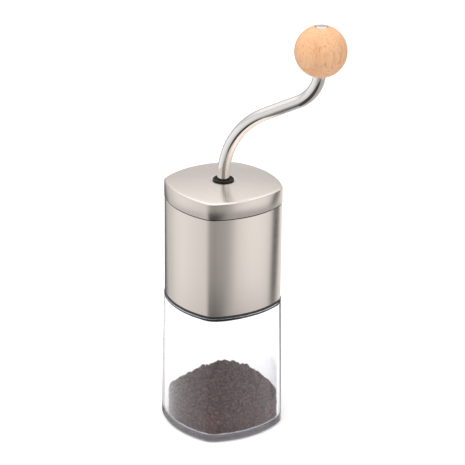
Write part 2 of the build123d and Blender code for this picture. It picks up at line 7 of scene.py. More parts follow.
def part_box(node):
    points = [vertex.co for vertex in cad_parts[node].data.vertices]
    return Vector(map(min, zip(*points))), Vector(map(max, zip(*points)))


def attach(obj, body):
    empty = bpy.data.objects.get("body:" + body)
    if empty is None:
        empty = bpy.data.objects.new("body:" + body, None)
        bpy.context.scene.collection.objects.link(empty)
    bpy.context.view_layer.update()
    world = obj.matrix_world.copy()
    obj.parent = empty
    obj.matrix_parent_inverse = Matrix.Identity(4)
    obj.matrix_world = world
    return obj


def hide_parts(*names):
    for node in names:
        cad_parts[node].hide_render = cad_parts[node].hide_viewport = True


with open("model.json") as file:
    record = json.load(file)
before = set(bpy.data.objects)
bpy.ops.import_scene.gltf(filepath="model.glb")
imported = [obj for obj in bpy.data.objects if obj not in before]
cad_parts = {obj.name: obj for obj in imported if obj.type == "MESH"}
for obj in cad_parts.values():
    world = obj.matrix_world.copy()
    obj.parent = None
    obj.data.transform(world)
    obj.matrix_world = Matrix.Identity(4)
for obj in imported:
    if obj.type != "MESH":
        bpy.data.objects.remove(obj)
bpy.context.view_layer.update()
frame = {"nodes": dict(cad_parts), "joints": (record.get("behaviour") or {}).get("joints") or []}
nodes = frame["nodes"]
mm = 0.001

# Container: clear moulded box that the ground coffee falls into. Its plan is a square with bowed sides and
# rounded corners, the walls lean out towards a thick floor, and a neck stands up out of a flat shoulder to
# plug into the body above. The moulding is polished inside and out, with a matt underside.
neck_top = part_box("container")[1].z
body_half_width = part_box("body_sleeve")[1].x
side_bow_radius = 49 * mm
body_corner_radius = 10 * mm
shoulder_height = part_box("seal_ring")[0].z
lean = tan(radians(1.06))
shoulder_overhang = 0.3 * mm
container_wall = 3 * mm
container_floor = 3.3 * mm
neck_inset = 3.2 * mm
neck_wall = 2.2 * mm
shoulder_underside = shoulder_height - 2.2 * mm
foot_rounding = 2 * mm
shoulder_rounding = 0.5 * mm
neck_root_rounding = 0.2 * mm
neck_rim_rounding = 0.4 * mm
inner_shoulder_rounding = 0.8 * mm
underside_inset = 4 * mm
floor_inset = 3 * mm


def bowed_square(inset, height, per_side=24, per_corner=12):
    """Points round the body's plan at height, inset inside its outer wall."""
    bow = side_bow_radius - body_half_width
    reach = sqrt((side_bow_radius - body_corner_radius) ** 2 - bow * bow / 2) - bow / sqrt(2)
    corner = reach / sqrt(2)
    half_side = atan2(corner, corner + bow)
    ring = []
    for side in range(4):
        turn = Matrix.Rotation(side * pi / 2, 3, "Z")
        for step in range(per_side):
            angle = half_side * (2 * step / per_side - 1)
            radius = side_bow_radius - inset
            ring.append(turn @ Vector((radius * cos(angle) - bow, radius * sin(angle), height)))
        for step in range(per_corner):
            angle = half_side + (pi / 2 - 2 * half_side) * step / per_corner
            radius = body_corner_radius - inset
            ring.append(turn @ Vector((corner + radius * cos(angle), corner + radius * sin(angle), height)))
    return ring


def rounded_path(corners, steps=6):
    """Path through (inset or radius, height, rounding) corners, each rounded by an arc."""
    path = []
    for index, (x, z, rounding) in enumerate(corners):
        here = Vector((x, z))
        if rounding == 0 or index in (0, len(corners) - 1):
            path.append(here)
            continue
        to_last = (Vector(corners[index - 1][:2]) - here).normalized()
        to_next = (Vector(corners[index + 1][:2]) - here).normalized()
        half_angle = acos(max(-1, min(1, to_last.dot(to_next)))) / 2
        centre = here + (to_last + to_next).normalized() * rounding / sin(half_angle)
        start = here + to_last * rounding / tan(half_angle) - centre
        end = here + to_next * rounding / tan(half_angle) - centre
        sweep = start.angle_signed(end)
        for step in range(steps + 1):
            turned = start.copy()
            turned.rotate(Matrix.Rotation(-sweep * step / steps, 2))
            path.append(centre + turned)
    return path


def skinned(name, rings, closed=False, smooth_angle=30):
    """Mesh object over rings of points in order; a ring of one point is a pole, and open ends get a cap."""
    points, starts, faces = [], [], []
    for ring in rings:
        starts.append(len(points))
        points.extend(ring)
    pairs = list(zip(range(len(rings) - 1), range(1, len(rings))))
    if closed:
        pairs.append((len(rings) - 1, 0))
    for first, second in pairs:
        count = max(len(rings[first]), len(rings[second]))
        for step in range(count):
            lower = [starts[first] + (step + k) % count * (len(rings[first]) > 1) for k in (0, 1)]
            upper = [starts[second] + (step + k) % count * (len(rings[second]) > 1) for k in (1, 0)]
            faces.append([v for k, v in enumerate(lower + upper) if v not in (lower + upper)[:k]])
    if not closed and len(rings[0]) > 1:
        faces.append([starts[0] + k for k in range(len(rings[0]))][::-1])
    if not closed and len(rings[-1]) > 1:
        faces.append([starts[-1] + k for k in range(len(rings[-1]))])
    mesh = bpy.data.meshes.new(name)
    mesh.from_pydata(points, [], faces)
    mesh.update()
    mesh.shade_smooth()
    mesh.set_sharp_from_angle(angle=radians(smooth_angle))
    piece = bpy.data.objects.new(name, mesh)
    bpy.context.scene.collection.objects.link(piece)
    return piece


def material(name, color, metallic=0.0, roughness=0.5):
    """Node material with its finish on the shader's own sockets; returns it with its tree and shader."""
    finish = bpy.data.materials.new(name)
    finish.use_nodes = True
    shader = finish.node_tree.nodes["Principled BSDF"]
    shader.inputs["Base Color"].default_value = (*color, 1)
    shader.inputs["Metallic"].default_value = metallic
    shader.inputs["Roughness"].default_value = roughness
    return finish, finish.node_tree, shader


def node(tree, kind, **values):
    """Adds a node and sets its properties, or its inputs where a name starts with a capital."""
    made = tree.nodes.new(kind)
    for key, value in values.items():
        if key[0].isupper():
            made.inputs[key.replace("_", " ")].default_value = value
        else:
            setattr(made, key, value)
    return made


def object_noise(tree, stretch, detail=3.0, roughness=0.5):
    """Noise on Object coordinates, with stretch in cycles per metre along X, Y and Z."""
    place = node(tree, "ShaderNodeTexCoord")
    mapping = node(tree, "ShaderNodeMapping", Scale=stretch)
    texture = node(tree, "ShaderNodeTexNoise", Scale=1.0, Detail=detail, Roughness=roughness)
    tree.links.new(place.outputs["Object"], mapping.inputs["Vector"])
    tree.links.new(mapping.outputs["Vector"], texture.inputs["Vector"])
    return texture


def ramp(tree, source, stops):
    """Colour ramp over source; stops are (position, colour)."""
    made = tree.nodes.new("ShaderNodeValToRGB")
    elements = made.color_ramp.elements
    while len(elements) < len(stops):
        elements.new(0.5)
    for element, (position, color) in zip(elements, stops):
        element.position = position
        element.color = (*color, 1)
    tree.links.new(source, made.inputs["Fac"])
    return made


def bump(tree, source, shader, distance, strength=1.0):
    """Surface relief of at most distance metres from source."""
    made = node(tree, "ShaderNodeBump", Distance=distance, Strength=strength)
    tree.links.new(source, made.inputs["Height"])
    tree.links.new(made.outputs["Normal"], shader.inputs["Normal"])


def dress(piece, finish):
    """Gives a piece one material all over."""
    piece.data.materials.clear()
    piece.data.materials.append(finish)


acrylic, tree, shader = material("clear_acrylic", (0.97, 0.975, 0.985), roughness=0.02)
shader.inputs["Transmission Weight"].default_value = 1.0
shader.inputs["IOR"].default_value = 1.49
wipe_marks = object_noise(tree, (60, 60, 60), detail=4)
haze = ramp(tree, wipe_marks.outputs["Fac"], [(0.35, (0.015, 0.015, 0.015)), (0.75, (0.05, 0.05, 0.05))])
place = node(tree, "ShaderNodeTexCoord")
level = node(tree, "ShaderNodeSeparateXYZ")
matt_underside = node(tree, "ShaderNodeMapRange")
matt_underside.inputs["From Min"].default_value = 0.1 * mm
matt_underside.inputs["From Max"].default_value = 0.6 * mm
matt_underside.inputs["To Min"].default_value = 0.35
matt_underside.inputs["To Max"].default_value = 0.0
rougher = node(tree, "ShaderNodeMath", operation="MAXIMUM")
tree.links.new(place.outputs["Object"], level.inputs["Vector"])
tree.links.new(level.outputs["Z"], matt_underside.inputs["Value"])
tree.links.new(matt_underside.outputs["Result"], rougher.inputs[0])
tree.links.new(haze.outputs["Color"], rougher.inputs[1])
tree.links.new(rougher.outputs["Value"], shader.inputs["Roughness"])
tint = node(tree, "ShaderNodeVolumeAbsorption", Color=(0.76, 0.66, 0.77, 1), Density=22.0)
tree.links.new(tint.outputs["Volume"], tree.nodes["Material Output"].inputs["Volume"])

outer_foot = -shoulder_overhang - shoulder_height * lean
inner_foot = outer_foot + container_wall + container_floor * lean
container_path = rounded_path([
    (outer_foot + underside_inset, 0, 0),
    (outer_foot, 0, foot_rounding),
    (-shoulder_overhang, shoulder_height, shoulder_rounding),
    (neck_inset, shoulder_height, neck_root_rounding),
    (neck_inset, neck_top, neck_rim_rounding),
    (neck_inset + neck_wall, neck_top, neck_rim_rounding),
    (neck_inset + neck_wall, shoulder_underside, shoulder_rounding),
    (container_wall - shoulder_overhang, shoulder_underside, inner_shoulder_rounding),
    (inner_foot, container_floor, foot_rounding),
    (inner_foot + floor_inset, container_floor, 0),
])
container = skinned("container_clear", [bowed_square(x, z) for x, z in container_path])
dress(container, acrylic)
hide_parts("container")
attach(container, "container")

# Ground coffee: a loose heap of coarse dark grains that fell from the burrs, highest near the middle, piled
# up further on one side and flat against the clear walls. One crumbled body carries several thousand angular
# grains, some of them large clumps.
heap_inset = container_wall + 1.2 * mm - shoulder_overhang
heap_wall_height = 17.2 * mm
heap_middle_height = 33.2 * mm
heap_floor = container_floor + 0.6 * mm
heap_foot_share = 0.9
heap_rings = 40
heap_steps = {"per_side": 16, "per_corner": 8}
heap_tip_rounding = 0.12
heap_steepness = 1.22
hollow_depth = 1.1 * mm
hollows_per_metre = 260
hollow_fade = 0.3
drift_rise = 2.3 * mm
drift_run = 14 * mm
drift_heading = radians(-34)
drift_way = Vector((cos(drift_heading), sin(drift_heading), 0))
grain_radius = 0.9 * mm
grains_per_square_metre = 1.1e6
clumps_within = 23.5 * mm
clump_chance = 0.09
clump_growth = 1.85
crumble_depth = 2.4 * mm


def heap_height(share):
    """Height of the heap at share of the way from its middle to the wall: a cone with a rounded top."""
    slope = heap_middle_height - heap_wall_height
    rounded = sqrt(heap_steepness * share * share + heap_tip_rounding**2)
    return heap_middle_height + heap_tip_rounding * slope - slope * rounded


def drifted(point):
    """Point of the heap's top, raised towards the side where the coffee has piled up more."""
    return point + Vector((0, 0, drift_rise * max(0, min(1, point.dot(drift_way) / drift_run))))


heap_wall = [bowed_square(heap_inset - (shoulder_height - z) * lean, z, **heap_steps)
             for z in (heap_floor, heap_floor + 4 * mm, heap_floor + 8 * mm, heap_height(1))]
heap_wall[-1] = [drifted(p) for p in heap_wall[-1]]
heap_top = []
for step in range(1, heap_rings):
    share = 1 - step / heap_rings
    ring = [drifted(Vector((p.x * share, p.y * share, heap_height(share)))) for p in heap_wall[-1]]
    depth = hollow_depth * (1 - share) ** hollow_fade
    heap_top.append([p + Vector((0, 0, depth * noise.noise(p * hollows_per_metre))) for p in ring])
foot = [Vector((p.x * heap_foot_share, p.y * heap_foot_share, heap_floor)) for p in heap_wall[0]]
heap = skinned("ground_coffee_heap", [foot, *heap_wall, *heap_top, [Vector((0, 0, heap_height(0)))]])

coffee, tree, shader = material("ground_coffee", (0.13, 0.08, 0.065), roughness=0.7)
clumps = object_noise(tree, (700, 700, 700), detail=5, roughness=0.8)
tone = ramp(tree, clumps.outputs["Fac"], [(0.36, (0.026, 0.009, 0.007)), (0.47, (0.085, 0.036, 0.03)),
                                          (0.56, (0.17, 0.077, 0.065)), (0.68, (0.42, 0.23, 0.2))])
tree.links.new(tone.outputs["Color"], shader.inputs["Base Color"])
bump(tree, clumps.outputs["Fac"], shader, 0.3 * mm)


def group_socket(tree, name, kind, value=None, out=False):
    """Adds a named socket to a Geometry Nodes tree and returns its identifier."""
    socket = tree.interface.new_socket(name, in_out="OUTPUT" if out else "INPUT", socket_type=kind)
    if value is not None:
        socket.default_value = value
    return socket.identifier


def baked(piece, tree, values):
    """Runs a Geometry Nodes tree on a piece with its inputs set, and keeps the plain mesh it makes."""
    modifier = piece.modifiers.new("make", "NODES")
    modifier.node_group = tree
    for identifier, value in values.items():
        modifier[identifier] = value
    bpy.context.view_layer.update()
    graph = bpy.context.evaluated_depsgraph_get()
    made = bpy.data.meshes.new_from_object(piece.evaluated_get(graph), depsgraph=graph)
    made.name = piece.name
    piece.modifiers.remove(modifier)
    piece.data = made


grains = bpy.data.node_groups.new("scatter_grains", "GeometryNodeTree")
group_socket(grains, "Geometry", "NodeSocketGeometry", out=True)
group_socket(grains, "Geometry", "NodeSocketGeometry")
size_id = group_socket(grains, "Grain Radius", "NodeSocketFloat")
density_id = group_socket(grains, "Grains Per Square Metre", "NodeSocketFloat")
clumps_id = group_socket(grains, "Clumps Within", "NodeSocketFloat")
crumble_id = group_socket(grains, "Crumble Depth", "NodeSocketFloat")
coat_id = group_socket(grains, "Finish", "NodeSocketMaterial")
source = node(grains, "NodeGroupInput")
result = node(grains, "NodeGroupOutput")
scatter = node(grains, "GeometryNodeDistributePointsOnFaces", Seed=7)
facing = node(grains, "GeometryNodeInputNormal")
split = node(grains, "ShaderNodeSeparateXYZ")
not_under = node(grains, "FunctionNodeCompare", operation="GREATER_THAN")
not_under.inputs["B"].default_value = -0.5
grain = node(grains, "GeometryNodeMeshIcoSphere", Subdivisions=1)
turned = node(grains, "FunctionNodeRandomValue", data_type="FLOAT_VECTOR", Seed=11)
turned.inputs[1].default_value = (2 * pi, 2 * pi, 2 * pi)
sized = node(grains, "FunctionNodeRandomValue", data_type="FLOAT_VECTOR", Seed=13)
sized.inputs[0].default_value = (0.7, 0.7, 0.5)
sized.inputs[1].default_value = (1.15, 1.1, 0.9)
chance = node(grains, "FunctionNodeRandomValue", Seed=17)
is_clump = node(grains, "ShaderNodeMath", operation="GREATER_THAN")
is_clump.inputs[1].default_value = 1 - clump_chance
spot = node(grains, "GeometryNodeInputPosition")
level = node(grains, "ShaderNodeVectorMath", operation="MULTIPLY")
level.inputs[1].default_value = (1, 1, 0)
out_from_axis = node(grains, "ShaderNodeVectorMath", operation="LENGTH")
inside = node(grains, "FunctionNodeCompare", operation="LESS_THAN")
clump_here = node(grains, "ShaderNodeMath", operation="MULTIPLY")
growth = node(grains, "ShaderNodeMath", operation="MULTIPLY_ADD")
growth.inputs[1].default_value = clump_growth
growth.inputs[2].default_value = 0.5
grown = node(grains, "ShaderNodeVectorMath", operation="SCALE")
place = node(grains, "GeometryNodeInstanceOnPoints")
real = node(grains, "GeometryNodeRealizeInstances")
chips = node(grains, "ShaderNodeTexNoise", Scale=480.0, Detail=3.0)
centred = node(grains, "ShaderNodeVectorMath", operation="SUBTRACT")
centred.inputs[1].default_value = (0.5, 0.5, 0.5)
pushed = node(grains, "ShaderNodeVectorMath", operation="SCALE")
moved = node(grains, "GeometryNodeSetPosition")
joined = node(grains, "GeometryNodeJoinGeometry")
coat = node(grains, "GeometryNodeSetMaterial")
for start, end in [
    (source.outputs["Geometry"], scatter.inputs["Mesh"]),
    (source.outputs["Grains Per Square Metre"], scatter.inputs["Density"]),
    (facing.outputs["Normal"], split.inputs["Vector"]),
    (split.outputs["Z"], not_under.inputs["A"]),
    (not_under.outputs["Result"], scatter.inputs["Selection"]),
    (source.outputs["Grain Radius"], grain.inputs["Radius"]),
    (scatter.outputs["Points"], place.inputs["Points"]),
    (grain.outputs["Mesh"], place.inputs["Instance"]),
    (turned.outputs[0], place.inputs["Rotation"]),
    (chance.outputs[1], is_clump.inputs[0]),
    (spot.outputs["Position"], level.inputs[0]),
    (level.outputs["Vector"], out_from_axis.inputs[0]),
    (out_from_axis.outputs["Value"], inside.inputs["A"]),
    (source.outputs["Clumps Within"], inside.inputs["B"]),
    (is_clump.outputs["Value"], clump_here.inputs[0]),
    (inside.outputs["Result"], clump_here.inputs[1]),
    (clump_here.outputs["Value"], growth.inputs[0]),
    (sized.outputs[0], grown.inputs["Vector"]),
    (growth.outputs["Value"], grown.inputs["Scale"]),
    (grown.outputs["Vector"], place.inputs["Scale"]),
    (place.outputs["Instances"], joined.inputs["Geometry"]),
    (source.outputs["Geometry"], joined.inputs["Geometry"]),
    (joined.outputs["Geometry"], real.inputs["Geometry"]),
    (real.outputs["Geometry"], moved.inputs["Geometry"]),
    (chips.outputs["Color"], centred.inputs[0]),
    (centred.outputs["Vector"], pushed.inputs["Vector"]),
    (source.outputs["Crumble Depth"], pushed.inputs["Scale"]),
    (pushed.outputs["Vector"], moved.inputs["Offset"]),
    (moved.outputs["Geometry"], coat.inputs["Geometry"]),
    (source.outputs["Finish"], coat.inputs["Material"]),
    (coat.outputs["Geometry"], result.inputs["Geometry"]),
]:
    grains.links.new(start, end)
baked(heap, grains, {size_id: grain_radius, density_id: grains_per_square_metre,
                     clumps_id: clumps_within, crumble_id: crumble_depth, coat_id: coffee})
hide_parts("ground_coffee")
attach(heap, "container")

# Seal: flat ring of moulded black rubber that lies on the container's shoulder round its neck, where the
# body above presses on it.


def tinted(tree, source, shader, dark, light):
    """Base colour that drifts between two close tones with source."""
    drift = ramp(tree, source, [(0.3, dark), (0.7, light)])
    tree.links.new(drift.outputs["Color"], shader.inputs["Base Color"])


rubber, tree, shader = material("black_rubber", (0.012, 0.012, 0.013), roughness=0.55)
moulding = object_noise(tree, (2500, 2500, 2500), detail=2)
bump(tree, moulding.outputs["Fac"], shader, 0.02 * mm)
tinted(tree, moulding.outputs["Fac"], shader, (0.009, 0.009, 0.01), (0.015, 0.015, 0.016))
dress(nodes["seal_ring"], rubber)

# Black mouldings with a fine matte grain: hopper, bearing bridge, burr retainer and carrier, adjusting
# wheel, lid liner and two washers. The sleeve rests on the hopper's thin flange, which shows as a black line
# under it, and the bridge is screwed across the hopper's mouth.
plastic, tree, shader = material("black_plastic", (0.018, 0.018, 0.02), roughness=0.42)
grain_noise = object_noise(tree, (3200, 3200, 3200), detail=2)
bump(tree, grain_noise.outputs["Fac"], shader, 0.015 * mm)
sheen = object_noise(tree, (45, 45, 45), detail=3)
wear = ramp(tree, sheen.outputs["Fac"], [(0.3, (0.34, 0.34, 0.34)), (0.7, (0.5, 0.5, 0.5))])
tree.links.new(wear.outputs["Color"], shader.inputs["Roughness"])
tinted(tree, sheen.outputs["Fac"], shader, (0.015, 0.015, 0.017), (0.021, 0.021, 0.023))
for name in ("hopper", "bearing_bridge", "burr_retainer", "burr_carrier", "adjusting_wheel", "lid_liner",
             "crank_washer", "knob_washer"):
    dress(nodes[name], plastic)

# Small steel fittings: zinc-plated screws, thrust washer, spring collar, drive socket with its pin, and the
# drive shaft. The spring and the three retaining clips are darker spring steel, drawn or stamped.
plated, tree, shader = material("plated_steel", (0.62, 0.62, 0.64), metallic=1.0, roughness=0.3)
spangle = object_noise(tree, (700, 700, 700), detail=4)
cloud = ramp(tree, spangle.outputs["Fac"], [(0.3, (0.5, 0.5, 0.53)), (0.7, (0.7, 0.7, 0.71))])
tree.links.new(cloud.outputs["Color"], shader.inputs["Base Color"])
bump(tree, spangle.outputs["Fac"], shader, 0.01 * mm)
for name in ("bridge_screws", "retainer_screws", "drive_shaft", "thrust_washer", "spring_collar",
             "drive_socket", "socket_pin"):
    dress(nodes[name], plated)
wire, tree, shader = material("spring_steel", (0.3, 0.3, 0.32), metallic=1.0, roughness=0.35)
drawn = object_noise(tree, (1500, 1500, 300), detail=3)
bump(tree, drawn.outputs["Fac"], shader, 0.01 * mm)
tinted(tree, drawn.outputs["Fac"], shader, (0.27, 0.27, 0.29), (0.33, 0.33, 0.35))
for name in ("burr_spring", "upper_clip", "lower_clip", "lid_clip"):
    dress(nodes[name], wire)

# Bushes, knob sleeve and adjusting nut: oil-filled sintered bronze with a fine open grain.
bronze, tree, shader = material("sintered_bronze", (0.5, 0.33, 0.16), metallic=1.0, roughness=0.45)
pores = object_noise(tree, (4000, 4000, 4000), detail=2)
patina = ramp(tree, pores.outputs["Fac"], [(0.35, (0.3, 0.19, 0.09)), (0.55, (0.58, 0.39, 0.2))])
tree.links.new(patina.outputs["Color"], shader.inputs["Base Color"])
bump(tree, pores.outputs["Fac"], shader, 0.02 * mm)
for name in ("upper_bush", "lower_bush", "knob_sleeve", "adjusting_nut"):
    dress(nodes[name], bronze)

# Burrs: off-white alumina ceramic, pressed and fired, with a dry matte skin and faint coffee dust.
ceramic, tree, shader = material("burr_ceramic", (0.8, 0.77, 0.7), roughness=0.6)
dust = object_noise(tree, (350, 350, 350), detail=5, roughness=0.65)
stain = ramp(tree, dust.outputs["Fac"], [(0.3, (0.55, 0.44, 0.34)), (0.5, (0.8, 0.77, 0.71))])
tree.links.new(stain.outputs["Color"], shader.inputs["Base Color"])
bump(tree, dust.outputs["Fac"], shader, 0.03 * mm)
for name in ("outer_burr", "inner_burr"):
    dress(nodes[name], ceramic)

# Body sleeve: drawn stainless tube, 0.8 mm thick, brushed round the body to a satin finish, with its cut
# edges lightly rounded. It drops over the hopper and rests on the hopper's flange.
sleeve_low, sleeve_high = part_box("body_sleeve")
sleeve_wall = 0.8 * mm
edge_rounding = 0.1 * mm
sleeve_path = rounded_path([
    (sleeve_wall / 2, sleeve_low.z, 0),
    (0, sleeve_low.z, edge_rounding),
    (0, sleeve_high.z, edge_rounding),
    (sleeve_wall, sleeve_high.z, edge_rounding),
    (sleeve_wall, sleeve_low.z, edge_rounding),
    (sleeve_wall / 2, sleeve_low.z, 0),
])[:-1]
sleeve = skinned("steel_sleeve", [bowed_square(x, z) for x, z in sleeve_path], closed=True)


def brushed_steel(name, stretch, roughness):
    """Satin stainless steel whose brush lines run across the axes with the highest stretch."""
    finish, tree, shader = material(name, (0.83, 0.755, 0.695), metallic=1.0, roughness=roughness)
    lines = object_noise(tree, stretch, detail=2)
    smoother, rougher = (roughness - 0.03,) * 3, (roughness + 0.03,) * 3
    depth = ramp(tree, lines.outputs["Fac"], [(0.3, smoother), (0.7, rougher)])
    tree.links.new(depth.outputs["Color"], shader.inputs["Roughness"])
    tone = ramp(tree, lines.outputs["Fac"], [(0.25, (0.81, 0.735, 0.675)), (0.75, (0.85, 0.775, 0.715))])
    tree.links.new(tone.outputs["Color"], shader.inputs["Base Color"])
    bump(tree, lines.outputs["Fac"], shader, 0.003 * mm)
    return finish


dress(sleeve, brushed_steel("brushed_steel", (25, 25, 5500), 0.22))
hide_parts("body_sleeve")
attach(sleeve, "housing")

# Lid: pressed stainless cap with a shallow dome, a rounded edge and a turned-down rim, glued over the black
# liner. A flat seat is pressed into its middle for the bush that carries the crank.
lid_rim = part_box("lid_shell")[0].z + 0.2 * mm
lid_wall = 0.8 * mm
lid_overhang = 0.2 * mm
lid_edge_radius = 1.1 * mm
lid_inner_edge_radius = 0.3 * mm
rim_edge = 0.1 * mm
rim_edge_start = 0.03 * mm
inner_rim_edge = 0.2 * mm
dome_rise = 1.5 * mm
dome_radius = (body_half_width**2 + dome_rise**2) / (2 * dome_rise)
ring_spread = 1.2
bush_flange_height = 1.1 * mm
seat_depth = 0.25 * mm
lid_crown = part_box("lid_bush")[1].z - bush_flange_height + seat_depth
seat_radius = 6.15 * mm
bush_hole_radius = 5.07 * mm


def dome_rings(inset, crown, hole, seat_drop, steps=16):
    """Rings of a domed top from its rim inwards to a round hole in the middle."""
    rim = bowed_square(inset, 0)
    rings = []
    for step in range(steps):
        share = 1 - step / steps
        ring = []
        for p in rim:
            circle = p.normalized() * seat_radius
            spot = circle.lerp(p, share**ring_spread)
            drop = dome_radius - sqrt(dome_radius**2 - spot.length_squared)
            ring.append(Vector((spot.x, spot.y, crown - drop)))
        rings.append(ring)
    for radius in (seat_radius, hole):
        rings.append([p.normalized() * radius + Vector((0, 0, crown - seat_drop)) for p in rim])
    return rings


def edge_rings(inset, crown, rounding, steps=8):
    """Rings of a rounded edge that runs from an upright wall over into the dome."""
    rings = []
    for step in range(steps):
        angle = pi / 2 * step / steps
        ring = []
        for p in bowed_square(inset + rounding * (1 - cos(angle)), 0):
            edge = p.length
            drop = dome_radius - sqrt(dome_radius**2 - edge * edge)
            ring.append(Vector((p.x, p.y, crown - drop - rounding * (1 - sin(angle)))))
        rings.append(ring)
    return rings


inner_crown = lid_crown - lid_wall
lid_rings = [
    bowed_square(lid_wall / 2 - lid_overhang, lid_rim),
    bowed_square(rim_edge - lid_overhang, lid_rim),
    bowed_square(rim_edge_start - lid_overhang, lid_rim + rim_edge_start),
    bowed_square(-lid_overhang, lid_rim + rim_edge),
    *edge_rings(-lid_overhang, lid_crown, lid_edge_radius),
    *dome_rings(lid_edge_radius - lid_overhang, lid_crown, bush_hole_radius, seat_depth),
    *reversed(dome_rings(lid_wall - lid_overhang + lid_inner_edge_radius, inner_crown, bush_hole_radius,
                         seat_depth)),
    *reversed(edge_rings(lid_wall - lid_overhang, inner_crown, lid_inner_edge_radius)),
    bowed_square(lid_wall - lid_overhang, lid_rim + inner_rim_edge),
    bowed_square(lid_wall - inner_rim_edge - lid_overhang, lid_rim),
]
lid = skinned("steel_lid", lid_rings, closed=True)
dress(lid, brushed_steel("brushed_steel_lid", (2200, 60, 2200), 0.24))
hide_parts("lid_shell")
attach(lid, "lid")

# Lid bush: glossy black moulding with a rounded flange, dished round the rod that turns in it. It is pushed
# through the lid and liner and held from below by the clip.
bush_low, bush_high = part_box("lid_bush")
bush_barrel = 5 * mm
bush_flange = bush_high.x
rod_bore = 3.58 * mm
clip_groove_depth = 0.5 * mm
dish_width = 1.6 * mm
dish_floor_width = 0.9 * mm
dish_depth = 1.2 * mm


def lathed(name, path, centre=(0, 0), segments=72, smooth_angle=30):
    """Solid turned about an upright axis through centre, from a path of (radius, height) points."""
    rings = []
    for radius, z in path:
        if radius == 0:
            rings.append([Vector((*centre, z))])
            continue
        angles = [2 * pi * k / segments for k in range(segments)]
        rings.append([Vector((centre[0] + radius * cos(angle), centre[1] + radius * sin(angle), z))
                      for angle in angles])
    solid = len(rings[0]) == 1 and len(rings[-1]) == 1
    return skinned(name, rings, closed=not solid, smooth_angle=smooth_angle)


flange_base = bush_high.z - bush_flange_height
clip_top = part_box("lid_clip")[1].z
clip_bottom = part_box("lid_clip")[0].z - 0.1 * mm
bush = lathed("crank_bush", rounded_path([
    (rod_bore, bush_low.z, 0),
    (bush_barrel, bush_low.z, 0.2 * mm),
    (bush_barrel, clip_bottom, 0),
    (bush_barrel - clip_groove_depth, clip_bottom, 0),
    (bush_barrel - clip_groove_depth, clip_top, 0),
    (bush_barrel, clip_top, 0),
    (bush_barrel, flange_base, 0),
    (bush_flange, flange_base, 0.1 * mm),
    (bush_flange, bush_high.z, 0.6 * mm),
    (rod_bore + dish_width, bush_high.z, 0.3 * mm),
    (rod_bore + dish_floor_width, bush_high.z - dish_depth, 0.2 * mm),
    (rod_bore, bush_high.z - dish_depth, 0),
]))
gloss, tree, shader = material("gloss_black_plastic", (0.006, 0.006, 0.006), roughness=0.14)
shader.inputs["Specular IOR Level"].default_value = 0.25
ripple = object_noise(tree, (500, 500, 500), detail=2)
bump(tree, ripple.outputs["Fac"], shader, 0.01 * mm)
tinted(tree, ripple.outputs["Fac"], shader, (0.005, 0.005, 0.005), (0.007, 0.007, 0.007))
dress(bush, gloss)
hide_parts("lid_bush")
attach(bush, "lid")

# Crank: 7 mm polished stainless rod, bent cold in two smooth arcs in one upright plane, with its far end
# turned down to a spindle for the knob. It is pinned into the drive socket under the lid.
rod_low, rod_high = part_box("crank_rod")
rod_radius = 3.5 * mm
spindle_radius = 2.2 * mm
spindle_root = 0.5 * mm
first_bend_radius = 46 * mm
second_bend_radius = 22.5 * mm
bend_angle = radians(62.6)
slope_length = 22.37 * mm
rod_straight_rise = 1.75 * mm
knob_axis = Vector(next(j for j in frame["joints"] if j["name"] == "knob_spin")["pos_m"])
crank_way = Vector((knob_axis.x, knob_axis.y, 0)).normalized()
bend_tangent = tan(bend_angle / 2)
slope_run = (first_bend_radius + second_bend_radius) * bend_tangent + slope_length
first_corner = Vector((0, 0, lid_crown + rod_straight_rise + first_bend_radius * bend_tangent))
slope_rise = Vector((0, 0, slope_run * cos(bend_angle)))
second_corner = first_corner + crank_way * slope_run * sin(bend_angle) + slope_rise
shoulder = Vector((second_corner.x, second_corner.y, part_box("knob_washer")[0].z))

bent_rod = bpy.data.node_groups.new("bent_rod", "GeometryNodeTree")
group_socket(bent_rod, "Geometry", "NodeSocketGeometry", out=True)
group_socket(bent_rod, "Geometry", "NodeSocketGeometry")
rod_radius_id = group_socket(bent_rod, "Rod Radius", "NodeSocketFloat")
first_id = group_socket(bent_rod, "First Bend Radius", "NodeSocketFloat")
second_id = group_socket(bent_rod, "Second Bend Radius", "NodeSocketFloat")
finish_id = group_socket(bent_rod, "Finish", "NodeSocketMaterial")
source = node(bent_rod, "NodeGroupInput")
result = node(bent_rod, "NodeGroupOutput")
line = node(bent_rod, "GeometryNodeMeshToCurve")
rank = node(bent_rod, "GeometryNodeInputIndex")
is_second = node(bent_rod, "FunctionNodeCompare", data_type="INT", operation="GREATER_THAN")
is_second.inputs[3].default_value = 1
bend = node(bent_rod, "GeometryNodeSwitch", input_type="FLOAT")
arcs = node(bent_rod, "GeometryNodeFilletCurve", mode="POLY", Count=40)
section = node(bent_rod, "GeometryNodeCurvePrimitiveCircle", Resolution=48)
sweep = node(bent_rod, "GeometryNodeCurveToMesh", Fill_Caps=True)
real = node(bent_rod, "GeometryNodeRealizeInstances")
coat = node(bent_rod, "GeometryNodeSetMaterial")
